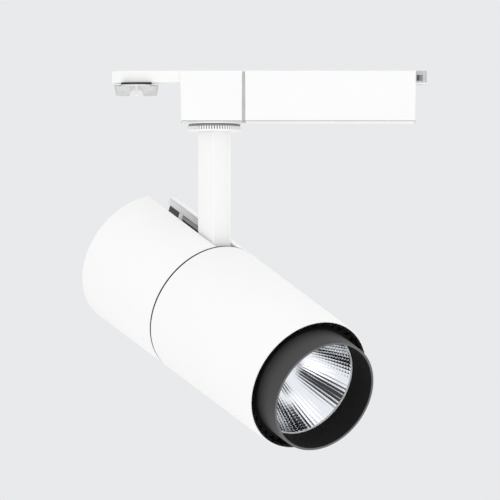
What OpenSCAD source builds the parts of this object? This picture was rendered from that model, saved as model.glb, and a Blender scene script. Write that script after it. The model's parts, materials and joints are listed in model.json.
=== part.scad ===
// Track spotlight: an adapter that locks into a track channel, a swivel arm and a tilting lamp.
// Millimetres, +Z up, +X along the track. The origin is on the swivel axis, in the top plane.

/* [Pose] */
// Pan of the arm about the swivel axis, 0 points along the track
pan_deg = -52; // [-175:1:175]
// Tilt of the lamp below the horizontal
tilt_deg = 26.6; // [0:0.1:90]

/* [Adapter bar] */
// Width of the bar across the track
bar_w = 31.4; // [30:0.2:40]
// Thickness of the bar
bar_t = 7.4; // [6.6:0.2:10]
// Skin left over the pocket under the bar
bar_skin = 2.4; // [2:0.1:3.5]
// Side walls of the pocket under the bar
bar_side = 2.6; // [2:0.1:5]
// Distance from the swivel axis to the lock axis
lock_reach = 50; // [46:1:80]
// Length of the stub past the driver box
stub_len = 6.8; // [6:0.2:14]
// Width of the contact window along the track
window_w = 7.4; // [5:0.2:9]

/* [Boxes] */
// Height of the boxes
box_h = 32.5; // [30:0.5:50]
// Wall of the boxes
box_wall = 1.6; // [1.2:0.1:2.4]
// Reach of the swivel box to the left of the swivel axis
swivel_box_left = 22.3; // [22:0.1:40]
// Reach of the swivel box to the right of the swivel axis
swivel_box_right = 18.1; // [18:0.1:40]
// Gap between the two boxes
box_gap = 1.4; // [1:0.1:4]
// Length of the driver box
driver_box_len = 110.1; // [90:0.1:180]
// Draft of the swivel box's outer end, over the height
draft_end = 1.1; // [0:0.1:2]
// Draft of the driver box's outer end, over the height
draft_far = 0.6; // [0:0.1:2]
// Draft of the faces at the gap, over the height
draft_gap = 0.2; // [0:0.1:0.8]

/* [Lock] */
// Diameter of the lock shaft
lock_shaft_d = 6; // [4:0.5:8]
// Width of the lock blade along the track when locked
blade_w = 19.6; // [12:0.2:24]
// Reach of the lock blade past each side of the bar when locked
blade_past = 3.1; // [1:0.1:6]
// Thickness of the lock blade
blade_t = 1; // [0.8:0.1:2.5]
// Diameter of the knob's disc
knob_d = 21.8; // [18:0.2:26]
// Thickness of the knob's disc
knob_disc_t = 1.4; // [1:0.1:3]
// Span of the knob's wings
wing_span = 28.4; // [24:0.2:34]
// Height of the knob's wings
wing_h = 5.5; // [4:0.1:9]
// Thickness of the wings where they are thinnest
wing_t = 2.4; // [1.6:0.1:4]

/* [Swivel] */
// Diameter of the hollow stem
stem_d = 10; // [8:0.2:12]
// Bore of the hollow stem
stem_bore_d = 6.4; // [4:0.2:7]
// Outer diameter of the swivel bush
bush_d = 14; // [13.4:0.2:18]
// Diameter of the bush's flange under the box
bush_flange_d = 28; // [22:0.5:30]
// Thickness of the bush's flange
bush_flange_t = 1.2; // [0.8:0.1:2]
// Diameter of the toothed flange
flange_d = 34.7; // [32:0.1:40]
// Height of the dark ring with the teeth
ring_h = 3.4; // [2.6:0.1:6]
// Height of the teeth
tooth_h = 2.1; // [1:0.1:2.4]
// Number of teeth
tooth_count = 62; // [24:1:80]
// Thickness of the toothed flange
flange_t = 1.2; // [0.6:0.1:3]

/* [Arm] */
// Length of the arm from its flange to the pivot
arm_len = 80.2; // [76:0.2:140]
// Width of the arm in the tilt plane
arm_w = 16.5; // [14:0.1:20]
// Thickness of the arm along the pivot pin
arm_t = 14; // [12:0.1:18]
// Wall of the arm
arm_wall = 2; // [1.6:0.1:3]
// Thickness of the arm's cover strip
arm_cover_t = 2.2; // [1.6:0.1:3]
// Diameter of the pivot pin
pin_d = 8; // [6:0.2:9]

/* [Lamp] */
// Outer diameter of the drums
lamp_d = 90; // [86:0.5:110]
// Wall of the drums
lamp_wall = 2; // [1.6:0.1:3]
// Length of the rear drum
rear_len = 78.9; // [60:0.1:80]
// Length of the front drum
front_len = 116; // [105:0.5:160]
// Seam between the drums
seam_gap = 1.3; // [0.6:0.1:2]
// Depth of the pivot below the top of the drum
pivot_depth = 12; // [11:0.1:12.6]
// Room beside the arm in the slot
slot_room = 1.8; // [1:0.1:2.4]
// Depth of the slot's lips, from the top of the drum
lip_depth = 6.1; // [3.4:0.1:6.2]
// Thickness of the slot's lips
lip_t = 1.5; // [1.2:0.1:2]
// Distance from the back end to the slot's posts
slot_post_back = 13.4; // [10:0.2:26]

/* [Optics] */
// Outer diameter of the baffle tube
baffle_d = 76; // [70:0.5:78]
// Wall of the baffle tube
baffle_wall = 1.6; // [1.2:0.1:2.4]
// Length of the baffle tube past the front rim
baffle_out = 18.1; // [8:0.1:40]
// Distance of the reflector's mouth behind the front rim
mouth_inset = 4.7; // [2.6:0.1:8]
// Depth of the reflector
reflector_depth = 42.4; // [34:0.2:46]
// Diameter of the reflector's throat
throat_d = 20; // [18:0.5:26]
// Number of vents in the front liner
vent_count = 36; // [12:1:48]
// Width of a vent round the liner
vent_w = 3.4; // [2:0.1:4.4]
// Height of a vent across the liner
vent_h = 2; // [1:0.1:2.2]
// Number of notches in the front liner's edge
notch_count = 36; // [12:1:48]
// Width of a notch
notch_w = 1.2; // [0.8:0.1:3]

/* [Hidden] */
$fn = 96;

// Clearances: over is how far a cut runs past the face that it opens
over = 1;
bar_clear = 0.2;
running_clear = 0.05;
face_clear = 0.2;
seat_clear = 0.1;
hole_clear = 0.2;

// Small screws: shank, head and the hole that lets the shank through
screw_d = 3;
screw_head_d = 5.5;
screw_head_h = 1.8;
screw_hole_d = 3.4;
screw_bite = 8;
screw_end = 0.5;
head_room = 0.4;

// Adapter along X
swivel_x0 = -swivel_box_left;
swivel_x1 = swivel_box_right;
driver_x0 = swivel_box_right + box_gap;
driver_x1 = driver_x0 + driver_box_len;
bar_x1 = driver_x1 + stub_len;
box_d = bar_w + 2 * (bar_clear + box_wall);
floor_z = -box_h + box_wall;
post_r = 2.6;
post_ring = 0.6;
post_side = 1.1;
post_y = box_d / 2 - box_wall - post_side - post_r;
post_in = max(draft_end, draft_far) + box_wall + post_r;
pocket_in = 3;
pocket_end = 10;
pocket_x0 = swivel_x0 + pocket_in;
pocket_x1 = driver_x1 - pocket_end;
box_posts = [for (x = [swivel_x0 + post_in, swivel_x1 - post_in, driver_x0 + post_in, driver_x1 - post_in],
    y = [-post_y, post_y]) [x, y]];

// Contact window in the stub
window_in = 2.3;
window_lid = 2.2;
window_floor = 1;
window_x1 = bar_x1 - window_in;
window_top = -window_lid;
window_bottom = -(bar_t - window_floor);
carrier_recess = 0.5;
contact_w = 2.4;
contact_len = 4;
contact_ys = [-9, 0, 9];

// Driver board and what stands on it
board_t = 1.6;
board_lift = 4;
board_z = floor_z + board_lift;
board_top = board_z + board_t;
board_margin = 0.6;
board_x0 = driver_x0 + post_in + post_r + board_margin;
board_x1 = driver_x1 - post_in - post_r - board_margin;
board_side = 1;
board_w = bar_w - 2 * board_side;
board_hole_in = 4;
board_holes = [for (x = [board_x0 + board_hole_in, board_x1 - board_hole_in],
    y = [-1, 1]) [x, y * (board_w / 2 - board_hole_in)]];
part_room = -bar_t - board_top;

// Parts on the board, in a row with even gaps between its screws
board_end = 5.4;
block_len = 8;
block_w = 16;
block_h = 9;
block_ways = [-5, 0, 5];
block_screw_d = 3.4;
block_wire_d = 2.4;
block_screw_z = 5;
block_wire_z = 3;
coil_r = 5;
coil_wire_r = 3;
transformer_len = 16;
transformer_w = 20;
transformer_lid = 2;
winding_in = 2;
capacitor_d = 8;
capacitor_pitch = 9;
row_len = block_len + 2 * (coil_r + coil_wire_r) + transformer_len + capacitor_pitch + capacitor_d;
part_gap = (board_x1 - board_x0 - 2 * board_end - row_len) / 3;
block_x0 = board_x0 + board_end;
coil_x = block_x0 + block_len + part_gap + coil_r + coil_wire_r;
transformer_x0 = coil_x + coil_r + coil_wire_r + part_gap;
capacitor_x = transformer_x0 + transformer_len + part_gap + capacitor_d / 2;

// Feed-through between the boxes, and the spacer round it that fills the gap
feed_d = 8;
feed_bore_d = 5;
feed_z = -(box_h + bar_t) / 2;
feed_lip = 2;
feed_past = box_wall + draft_gap + feed_lip;
spacer_in = 0.7;

// Lock, from the top down
clip_t = 1;
clip_d = lock_shaft_d + 5;
clip_pocket_d = clip_d + 2;
clip_pocket = 2.2;
blade_z1 = -bar_t - face_clear;
blade_z0 = blade_z1 - blade_t;
wing_z1 = blade_z0 - knob_disc_t;
wing_z0 = wing_z1 - wing_h;
blade_len = bar_w + 2 * blade_past;
shaft_drop = 0.4;
shaft_top = -shaft_drop;
shaft_in = 1.6;
hub_t = 1.6;
hub_h = 2.4;
rib_t = 1.6;
rib_len = 14.6;
scoop_floor = 0.5;
wing_taper = 1.4;
scoop_r = 6;
finger_r = 40;

// Swivel, from the box floor both ways
plate_t = 3;
plate_d = 28;
bush_top = floor_z + plate_t + face_clear;
washer_t = 1.2;
washer_d = 20;
washer_z0 = bush_top + seat_clear;
nut_z0 = washer_z0 + washer_t;
nut_h = 6;
nut_af = 16;
thread_past = 1.5;
stem_top = nut_z0 + nut_h + thread_past;
ring_clear = 0.3;
ring_z1 = -box_h - bush_flange_t - ring_clear;
ring_z0 = ring_z1 - ring_h;
arm_top = ring_z0 - flange_t;
tooth_w = 1.1;
tooth_t = 0.7;
ring_d = flange_d - 2 * tooth_t;

// Arm
pivot_z = arm_top - arm_len;
arm_round = 1.2;
arm_block = 18;
arm_boss_in = 6;
arm_boss = arm_w / 2 + arm_boss_in;
stem_sink = 10;
pivot_bush_d = pin_d + 3;
arm_hollow_z0 = pivot_z + arm_boss;
arm_hollow_z1 = arm_top - arm_block;
cover_screw_d = 2.5;
cover_head_d = 4.2;
cover_head_h = 1.2;
cover_bite = 4;
cover_tail = 8;
cover_edge = 1;
cover_z0 = arm_hollow_z0 - cover_tail;
cover_screw_x = arm_w / 2 - cover_head_d / 2 - cover_edge;
cover_screw_in = 4;
cover_screw_z = arm_hollow_z1 + cover_screw_in;
cover_screws = [[-cover_screw_x, cover_screw_z], [cover_screw_x, cover_screw_z],
    [0, arm_hollow_z0 - cover_screw_in]];

// Lamp along its axis, measured from the pivot towards the front
lamp_r = lamp_d / 2;
inner_r = lamp_r - lamp_wall;
pivot_rise = lamp_r - pivot_depth;
nose_room = 1.1;
seam_x0 = arm_w / 2 + nose_room;
seam_x1 = seam_x0 + seam_gap;
back_x = seam_x0 - rear_len;
rim_x = seam_x1 + front_len;
rear_cover_t = 3;
rear_ledge = 2;
rear_in_x = back_x + rear_cover_t;

// Slot for the arm: half widths across, heights from the pivot
slot_half = arm_t / 2 + slot_room;
lip_z = pivot_depth - lip_depth;
slot_floor = -(arm_w / 2 + nose_room);
liner_t = 1.2;
liner_half = slot_half + lip_t;
slot_post_w = 4;
trough_inset = 0.6;
trough_half = liner_half + liner_t + seat_clear;
bracket_back = 14.5;
bracket_t = 2.5;
bracket_half = liner_half + seat_clear;
bracket_out = bracket_half + bracket_t;

// Plate between the drums
mid_in = 2.75;
mid_x0 = seam_x1 + mid_in;
mid_t = 3;
mid_x1 = mid_x0 + mid_t;
skirt_t = 1.9;
skirt_back = 11.4;
boss_r = 3.4;
boss_web = 5.4;
boss_len = 10;
boss_pcr = inner_r - skirt_t - screw_head_d / 2 - head_room - seat_clear;
boss_turns = [90, 180, 270];
tie_d = 4;
tie_head_d = 7;
tie_head_h = 2.4;
tie_pcr = 32;
tie_turns = [62, 180, 298];
tie_boss_d = 10;
tie_boss_h = 3;

// Pivot hardware along the pin
pin_head_d = pin_d + 4;
pin_head_h = 3;
pin_end = 0.8;
pivot_nut_af = pin_d + 4;
pivot_nut_h = 3.6;
tilt_washer_d = pin_d + 3;
tilt_washer_gap = 0.15;
skirt_cut = bracket_out + pivot_nut_h + pin_end + head_room;
gasket_inset = 0.15;

// Optics along the lamp's axis
mouth_x = rim_x - mouth_inset;
throat_x = mouth_x - reflector_depth;
holder_t = 3;
led_board_t = 1.6;
led_board_d = 40;
holder_past = 2;
emitter_t = 0.8;
emitter_in = 1.5;
emitter_d = throat_d - 2 * emitter_in;
sink_x1 = throat_x - holder_t - led_board_t;
sink_base_t = 8;
sink_x0 = sink_x1 - sink_base_t;
fin_gap = 2;
fin_x0 = mid_x1 + boss_len + fin_gap;
fin_r = boss_pcr - boss_r - head_room;
fin_t = 2.2;
fin_count = 9;
core_r = 14;
reflector_t = 1.2;
baffle_r = baffle_d / 2;
baffle_in_r = baffle_r - baffle_wall;
mouth_lip = 0.4;
mouth_r = baffle_in_r - mouth_lip;
throat_r = throat_d / 2;
reflector_steps = 16;
focal4 = (mouth_r * mouth_r - throat_r * throat_r) / (reflector_depth - reflector_t);

// Front liner
rim_ledge = 1;
rim_wall = lamp_wall - rim_ledge;
liner_len = 13.3;
liner_inset = 0.7;
liner_seat_x = rim_x - liner_len;
liner_r = lamp_r - rim_wall - seat_clear;
liner_wall = 1.4;
liner_front_x = rim_x - liner_inset;
web_t = 2;
web_inset = 3.4;
web_x1 = rim_x - web_inset;
sleeve_t = 1.2;
sleeve_r = baffle_r + seat_clear;
vent_r = (sleeve_r + sleeve_t + liner_r - liner_wall) / 2;
notch_deep = 1.8;

// Frames
module arm_frame() {
    rotate([0, 0, pan_deg]) children();
}

// Lamp frame: origin at the pivot, X to the front of the lamp, Y along the pivot pin
module lamp_frame() {
    arm_frame() translate([0, 0, pivot_z]) rotate([0, tilt_deg, 0]) children();
}

// Axis frame: Z along the lamp's axis to the front, -X to the slot, origin below the pivot
module lamp_axis() {
    lamp_frame() translate([0, 0, -pivot_rise]) rotate([0, 90, 0]) children();
}

// Turns a copy for each angle from the slot, at a radius from the lamp's axis
module around_axis(turns, radius) {
    for (turn = turns)
        rotate([0, 0, 180 + turn]) translate([radius, 0, 0]) children();
}

// Shared shapes
module along_y(depth) {
    rotate([90, 0, 0]) linear_extrude(depth, center = true) children();
}

module tube(r_out, r_in, z0, z1) {
    translate([0, 0, z0]) difference() {
        cylinder(r = r_out, h = z1 - z0);
        translate([0, 0, -over]) cylinder(r = r_in, h = z1 - z0 + 2 * over);
    }
}

module disc(r, z0, z1) {
    translate([0, 0, z0]) cylinder(r = r, h = z1 - z0);
}

module hex(across_flats, z0, z1) {
    translate([0, 0, z0]) cylinder(d = across_flats / cos(30), h = z1 - z0, $fn = 6);
}

module slab(x0, x1, y0, y1, z0, z1) {
    translate([x0, y0, z0]) cube([x1 - x0, y1 - y0, z1 - z0]);
}

module round_rect(w, h, r) {
    square([w - 2 * r, h], center = true);
    square([w, h - 2 * r], center = true);
    for (x = [-1, 1], y = [-1, 1])
        translate([x * (w / 2 - r), y * (h / 2 - r)]) circle(r);
}

// Cylinder-head screw with its seat at z = 0 and its shank below
module screw(d, head_d, head_h, length) {
    translate([0, 0, -length]) cylinder(d = d, h = length);
    difference() {
        cylinder(d = head_d, h = head_h);
        translate([0, 0, head_h / 2]) cylinder(d = d, h = head_h, $fn = 6);
    }
}

// Adapter
module bar_outline() {
    translate([-lock_reach, 0]) circle(d = bar_w);
    translate([-lock_reach, -bar_w / 2]) square([lock_reach + bar_x1, bar_w]);
}

module adapter_bar() color("white") difference() {
    translate([0, 0, -bar_t]) linear_extrude(bar_t) bar_outline();
    difference() {
        slab(pocket_x0, pocket_x1, -bar_w / 2 + bar_side, bar_w / 2 - bar_side, -bar_t - over, -bar_skin);
        for (p = box_posts)
            translate([p[0], p[1], -bar_t - 2 * over]) cylinder(r = post_r + post_ring, h = bar_t);
    }
    for (p = box_posts) translate([p[0], p[1], 0]) {
        translate([0, 0, -bar_t - over]) cylinder(d = screw_hole_d, h = bar_t + 2 * over);
        translate([0, 0, -screw_head_h - head_room]) cylinder(d = screw_head_d + head_room, h = bar_t);
    }
    translate([-lock_reach, 0, 0]) {
        translate([0, 0, -bar_t - over])
            cylinder(d = lock_shaft_d + 2 * running_clear, h = bar_t + 2 * over);
        translate([0, 0, -clip_pocket]) cylinder(d = clip_pocket_d, h = bar_t);
    }
    slab(window_x1 - window_w, window_x1, -bar_w, bar_w, window_bottom, window_top);
    for (y = contact_ys)
        translate([window_x1 - window_w / 2, y, window_top - over])
            linear_extrude(-window_top + 2 * over)
                square([contact_len + 2 * bar_clear, contact_w + 2 * bar_clear], center = true);
}

// Trapezoid of a box seen from the front, drawn in by a wall on the two ends and the floor
module box_section(x0, x1, draft0, draft1, wall) {
    polygon([[x0 + wall, wall > 0 ? over : 0], [x1 - wall, wall > 0 ? over : 0],
        [x1 - wall - draft1, -box_h + wall], [x0 + wall + draft0, -box_h + wall]]);
}

// Open tray that hangs from the bar, with screw posts in its corners
module box_tray(x0, x1, draft0, draft1) {
    difference() {
        along_y(box_d) box_section(x0, x1, draft0, draft1, 0);
        along_y(box_d - 2 * box_wall) box_section(x0, x1, draft0, draft1, box_wall);
        slab(x0 - over, x1 + over, -box_d / 2 + box_wall, box_d / 2 - box_wall, -bar_t - bar_clear, over);
    }
    for (p = box_posts)
        if (p[0] > x0 && p[0] < x1)
            translate([p[0], p[1], floor_z - box_wall / 2])
                cylinder(r = post_r, h = -bar_t - floor_z + box_wall / 2);
}

module box_pilots() {
    for (p = box_posts)
        translate([p[0], p[1], -bar_t - screw_bite])
            cylinder(d = screw_d + 2 * running_clear, h = screw_bite + over);
}

module feed_hole() {
    translate([swivel_x1 - feed_past, 0, feed_z]) rotate([0, 90, 0])
        cylinder(d = feed_d + 2 * running_clear, h = box_gap + 2 * feed_past);
}

module swivel_box_cover() color("white") difference() {
    box_tray(swivel_x0, swivel_x1, draft_end, draft_gap);
    box_pilots();
    feed_hole();
    translate([0, 0, -box_h - over]) cylinder(d = bush_d + 2 * running_clear, h = box_wall + 2 * over);
}

module driver_box_cover() color("white") difference() {
    union() {
        box_tray(driver_x0, driver_x1, draft_gap, draft_far);
        for (p = board_holes)
            translate([p[0], p[1], floor_z - box_wall / 2])
                cylinder(r = post_r, h = board_lift + box_wall / 2);
    }
    box_pilots();
    feed_hole();
    for (p = board_holes)
        translate([p[0], p[1], floor_z + screw_end])
            cylinder(d = cover_screw_d + 2 * running_clear, h = board_lift);
}

module feed_through() color("darkgray") difference() {
    union() {
        translate([swivel_x1 - feed_past, 0, feed_z]) rotate([0, 90, 0])
            disc(feed_d / 2, 0, box_gap + 2 * feed_past);
        intersection() {
            along_y(box_d - 2 * spacer_in)
                box_section(swivel_x1 + running_clear, driver_x0 - running_clear,
                    -draft_gap, -draft_gap, 0);
            slab(swivel_x0, driver_x1, -box_d, box_d, -box_h + spacer_in, -spacer_in);
        }
    }
    slab(swivel_x0, driver_x1, -bar_w / 2 - bar_clear, bar_w / 2 + bar_clear, -bar_t - bar_clear, over);
    translate([swivel_x1 - feed_past - over, 0, feed_z]) rotate([0, 90, 0])
        disc(feed_bore_d / 2, 0, box_gap + 2 * feed_past + 2 * over);
}

module swivel_plate() color("silver") {
    tube(plate_d / 2, bush_d / 2, floor_z, floor_z + plate_t);
}

module swivel_bush() color("dimgray") {
    tube(bush_d / 2, stem_d / 2 + running_clear, -box_h, bush_top);
    tube(bush_flange_d / 2, stem_d / 2 + running_clear, -box_h - bush_flange_t, -box_h);
}

module box_screws() color("silver") {
    for (p = box_posts)
        translate([p[0], p[1], -screw_head_h - head_room])
            screw(screw_d, screw_head_d, screw_head_h,
                bar_t + screw_bite - screw_head_h - head_room - screw_end);
}

module driver_circuit_board() color("darkgreen") difference() {
    slab(board_x0, board_x1, -board_w / 2, board_w / 2, board_z, board_top);
    for (p = board_holes)
        translate([p[0], p[1], board_z - over])
            cylinder(d = cover_screw_d + 2 * hole_clear, h = board_t + 2 * over);
}

module board_screws() color("silver") {
    for (p = board_holes)
        translate([p[0], p[1], board_top])
            screw(cover_screw_d, cover_head_d, cover_head_h, board_lift + board_t - 2 * screw_end);
}

module driver_transformer() color("goldenrod") translate([transformer_x0, 0, 0]) {
    top = board_top + part_room - transformer_lid;
    for (z = [board_top, top - transformer_lid])
        slab(0, transformer_len, -transformer_w / 2, transformer_w / 2, z, z + transformer_lid);
    slab(winding_in, transformer_len - winding_in, -transformer_w / 2 + winding_in,
        transformer_w / 2 - winding_in, board_top, top);
}

module driver_capacitors() color("navy") {
    for (i = [0, 1], side = [-1, 1])
        translate([capacitor_x + i * capacitor_pitch, side * capacitor_pitch / 2, board_top])
            cylinder(d = capacitor_d, h = part_room - transformer_lid);
}

module driver_inductor() color("sienna") {
    translate([coil_x, 0, board_top + coil_wire_r])
        rotate_extrude() translate([coil_r, 0]) circle(coil_wire_r);
}

module input_terminal_block() color("gainsboro") difference() {
    slab(block_x0, block_x0 + block_len, -block_w / 2, block_w / 2, board_top, board_top + block_h);
    for (y = block_ways) translate([block_x0 + block_len / 2, y, board_top]) {
        translate([0, 0, block_screw_z]) cylinder(d = block_screw_d, h = block_h);
        translate([0, 0, block_wire_z]) rotate([0, -90, 0]) cylinder(d = block_wire_d, h = block_len);
    }
}

module contact_carrier() color("black") {
    slab(window_x1 - window_w, window_x1, -bar_w / 2 + carrier_recess, bar_w / 2 - carrier_recess,
        window_bottom, window_top);
}

module contact_springs() color("gold") {
    for (y = contact_ys)
        slab(window_x1 - window_w / 2 - contact_len / 2, window_x1 - window_w / 2 + contact_len / 2,
            y - contact_w / 2, y + contact_w / 2, window_top, 0);
}

// Lock lever, modelled locked: the blade stands across the track
module lock_knob() color("white") translate([-lock_reach, 0, 0]) difference() {
    union() {
        disc(knob_d / 2, wing_z1, blade_z0);
        difference() {
            along_y(knob_d / 2) difference() {
                polygon([[-wing_span / 2, wing_z1 + knob_disc_t / 2],
                    [wing_span / 2, wing_z1 + knob_disc_t / 2],
                    [wing_span / 2 - wing_taper, wing_z0], [-wing_span / 2 + wing_taper, wing_z0]]);
                translate([0, wing_z1 - scoop_r - scoop_floor]) circle(scoop_r);
            }
            for (side = [-1, 1])
                translate([0, side * (finger_r + wing_t / 2), wing_z0 - over])
                    cylinder(r = finger_r, h = wing_h + over);
        }
        slab(-rib_t / 2, rib_t / 2, -rib_len / 2, rib_len / 2, wing_z0, wing_z1);
        disc(lock_shaft_d / 2 + hub_t, wing_z1 - hub_h, wing_z1);
    }
    disc(lock_shaft_d / 2, wing_z1 - shaft_in, blade_z0 + over);
}

module lock_shaft() color("silver") translate([-lock_reach, 0, 0]) {
    disc(lock_shaft_d / 2, wing_z1 - shaft_in, shaft_top);
}

module lock_blade() color("black") translate([-lock_reach, 0, 0]) difference() {
    slab(-blade_w / 2, blade_w / 2, -blade_len / 2, blade_len / 2, blade_z0, blade_z1);
    disc(lock_shaft_d / 2, blade_z0 - over, blade_z1 + over);
}

module lock_clip() color("silver") translate([-lock_reach, 0, 0]) {
    tube(clip_d / 2, lock_shaft_d / 2, -clip_pocket + face_clear, -clip_pocket + face_clear + clip_t);
}

// Arm and swivel
module swivel_stem() color("silver") {
    tube(stem_d / 2, stem_bore_d / 2, arm_top - stem_sink, stem_top);
}

module swivel_nut() color("silver") difference() {
    hex(nut_af, nut_z0, nut_z0 + nut_h);
    disc(stem_d / 2, nut_z0 - over, nut_z0 + nut_h + over);
}

module swivel_washer() color("silver") {
    tube(washer_d / 2, stem_d / 2, washer_z0, washer_z0 + washer_t);
}

module swivel_ring() color("dimgray") {
    tube(ring_d / 2, stem_d / 2, ring_z0, ring_z1);
}

module arm_flange() color("white") {
    tube(flange_d / 2, stem_d / 2, arm_top, ring_z0);
    for (i = [0 : tooth_count - 1])
        rotate([0, 0, i * 360 / tooth_count])
            slab(flange_d / 2 - tooth_t, flange_d / 2 - seat_clear, -tooth_w / 2, tooth_w / 2,
                ring_z0 - flange_t / 2, ring_z0 + tooth_h);
}

module arm_channel() color("white") arm_frame() difference() {
    union() {
        translate([0, 0, pivot_z]) linear_extrude(arm_top - pivot_z) round_rect(arm_w, arm_t, arm_round);
        translate([0, 0, pivot_z]) rotate([90, 0, 0]) cylinder(d = arm_w, h = arm_t, center = true);
    }
    slab(-arm_w / 2 + arm_wall, arm_w / 2 - arm_wall, -arm_t / 2 + arm_wall, arm_t,
        arm_hollow_z0, arm_hollow_z1);
    slab(-arm_w, arm_w, arm_t / 2 - arm_cover_t, arm_t, cover_z0, arm_top + over);
    disc(stem_d / 2, arm_top - stem_sink, arm_top + over);
    disc(stem_bore_d / 2, arm_hollow_z1 - over, arm_top);
    translate([0, 0, pivot_z]) rotate([90, 0, 0])
        cylinder(d = pivot_bush_d, h = arm_t + 2 * over, center = true);
    for (p = cover_screws)
        translate([p[0], arm_t / 2 - arm_cover_t + over, p[1]]) rotate([90, 0, 0])
            cylinder(d = cover_screw_d + 2 * running_clear, h = cover_bite + over);
}

module arm_cover() color("white") arm_frame() difference() {
    intersection() {
        translate([0, 0, pivot_z]) linear_extrude(arm_top - pivot_z) round_rect(arm_w, arm_t, arm_round);
        slab(-arm_w, arm_w, arm_t / 2 - arm_cover_t, arm_t, cover_z0, arm_top);
    }
    disc(stem_d / 2 + seat_clear, arm_top - stem_sink - seat_clear, arm_top + over);
    for (p = cover_screws) translate([p[0], arm_t / 2 + over, p[1]]) rotate([90, 0, 0]) {
        cylinder(d = cover_screw_d + 2 * hole_clear, h = arm_cover_t + 2 * over);
        cylinder(d = cover_head_d + 2 * hole_clear, h = cover_head_h + over);
    }
}

module arm_cover_screws() color("silver") arm_frame() {
    for (p = cover_screws)
        translate([p[0], arm_t / 2 - cover_head_h, p[1]]) rotate([-90, 0, 0])
            screw(cover_screw_d, cover_head_d, cover_head_h,
                arm_cover_t - cover_head_h + cover_bite - screw_end);
}

module pivot_bush() color("peru") arm_frame() translate([0, 0, pivot_z]) rotate([90, 0, 0]) {
    tube(pivot_bush_d / 2, pin_d / 2 + running_clear, -arm_t / 2, arm_t / 2);
}

// Lamp
module across_pin() {
    lamp_frame() rotate([-90, 0, 0]) children();
}

module pivot_pin() color("silver") across_pin() {
    disc(pin_d / 2, -bracket_out, bracket_out + pivot_nut_h + pin_end);
    disc(pin_head_d / 2, -bracket_out - pin_head_h, -bracket_out);
}

module pivot_nut() color("silver") across_pin() difference() {
    hex(pivot_nut_af, bracket_out, bracket_out + pivot_nut_h);
    disc(pin_d / 2, bracket_out - over, bracket_out + pivot_nut_h + over);
}

module tilt_washers() color("dimgray") across_pin() {
    for (side = [0, 1])
        mirror([0, 0, side]) tube(tilt_washer_d / 2, pin_d / 2, arm_t / 2 + tilt_washer_gap, bracket_half);
}

// Bracket screws sit in the corners of the bracket's foot
bracket_screw_y = bracket_half - screw_head_d / 2;
bracket_screw_zs = [slot_floor + screw_head_d / 2 + head_room, lip_z - screw_head_d / 2 - head_room];

module bracket_holes(d) {
    for (y = [-bracket_screw_y, bracket_screw_y], z = bracket_screw_zs)
        translate([0, y, z]) rotate([0, 90, 0]) cylinder(d = d, h = mid_x1 + over);
}

module hinge_bracket() color("dimgray") lamp_frame() difference() {
    union() {
        slab(-bracket_back, mid_x0, -bracket_out, -bracket_half, slot_floor - liner_t, lip_z);
        slab(-bracket_back, mid_x0, bracket_half, bracket_out, slot_floor - liner_t, lip_z);
        slab(seam_x0, mid_x0, -bracket_out, bracket_out, slot_floor - liner_t, lip_z);
        slab(-bracket_back, mid_x0, -bracket_out, bracket_out, slot_floor - liner_t, slot_floor);
    }
    rotate([90, 0, 0]) cylinder(d = pin_d + 2 * running_clear, h = 4 * bracket_out, center = true);
    bracket_holes(screw_d);
    for (y = [-bracket_screw_y, bracket_screw_y], z = bracket_screw_zs)
        translate([seam_x0 - over, y, z]) rotate([0, 90, 0])
            cylinder(d = screw_head_d + head_room, h = screw_head_h + over);
}

module bracket_screws() color("silver") lamp_frame() {
    for (y = [-bracket_screw_y, bracket_screw_y], z = bracket_screw_zs)
        translate([seam_x0 + screw_head_h, y, z]) rotate([0, -90, 0])
            screw(screw_d, screw_head_d, screw_head_h, mid_x1 - seam_x0 - screw_head_h - screw_end);
}

// Slot cut in lamp_axis coordinates, from a height over the lamp's axis outwards
module slot_cut(half, height, z0, z1) {
    slab(-lamp_d, -height, -half, half, z0, z1);
}

module rear_housing() color("white") lamp_axis() difference() {
    union() {
        tube(lamp_r, inner_r, back_x, seam_x0);
        difference() {
            tube(inner_r + lamp_wall / 2, inner_r - rear_ledge, rear_in_x, rear_in_x + rear_ledge);
            slot_cut(trough_half, 0, rear_in_x - over, rear_in_x + rear_ledge + over);
        }
        intersection() {
            disc(lamp_r - lamp_wall / 2, back_x, seam_x0);
            union() {
                slot_cut(liner_half, pivot_rise + lip_z, back_x, seam_x0);
                slab(-lamp_r, -pivot_rise - slot_floor, -liner_half, liner_half,
                    back_x + slot_post_back, back_x + slot_post_back + slot_post_w);
            }
        }
    }
    slot_cut(slot_half, 0, back_x - over, seam_x0 + over);
}

module rear_cover() color("white") lamp_axis() difference() {
    union() {
        disc(inner_r - seat_clear, back_x, rear_in_x);
        around_axis(tie_turns, tie_pcr) disc(tie_boss_d / 2, rear_in_x - over, rear_in_x + tie_boss_h);
    }
    slot_cut(trough_half, pivot_rise + slot_floor - liner_t - seat_clear, back_x - over, rear_in_x + over);
    around_axis(tie_turns, tie_pcr) {
        disc(tie_d / 2 + hole_clear, back_x - over, rear_in_x + tie_boss_h + over);
        disc(tie_head_d / 2 + hole_clear, back_x - over, back_x + tie_head_h + hole_clear);
    }
}

module slot_liner() color("black") lamp_frame() {
    for (side = [-1, 1])
        translate([0, side * (liner_half + liner_t / 2), 0])
            slab(back_x + trough_inset, -bracket_back, -liner_t / 2, liner_t / 2,
                slot_floor - liner_t, lip_z);
    slab(back_x + trough_inset, -bracket_back, -liner_half - liner_t, liner_half + liner_t,
        slot_floor - liner_t, slot_floor);
}

module tie_screws() color("silver") lamp_axis() {
    around_axis(tie_turns, tie_pcr) translate([0, 0, back_x + tie_head_h + hole_clear]) mirror([0, 0, 1])
        screw(tie_d, tie_head_d, tie_head_h, mid_x1 - screw_end - back_x - tie_head_h);
}

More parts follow.
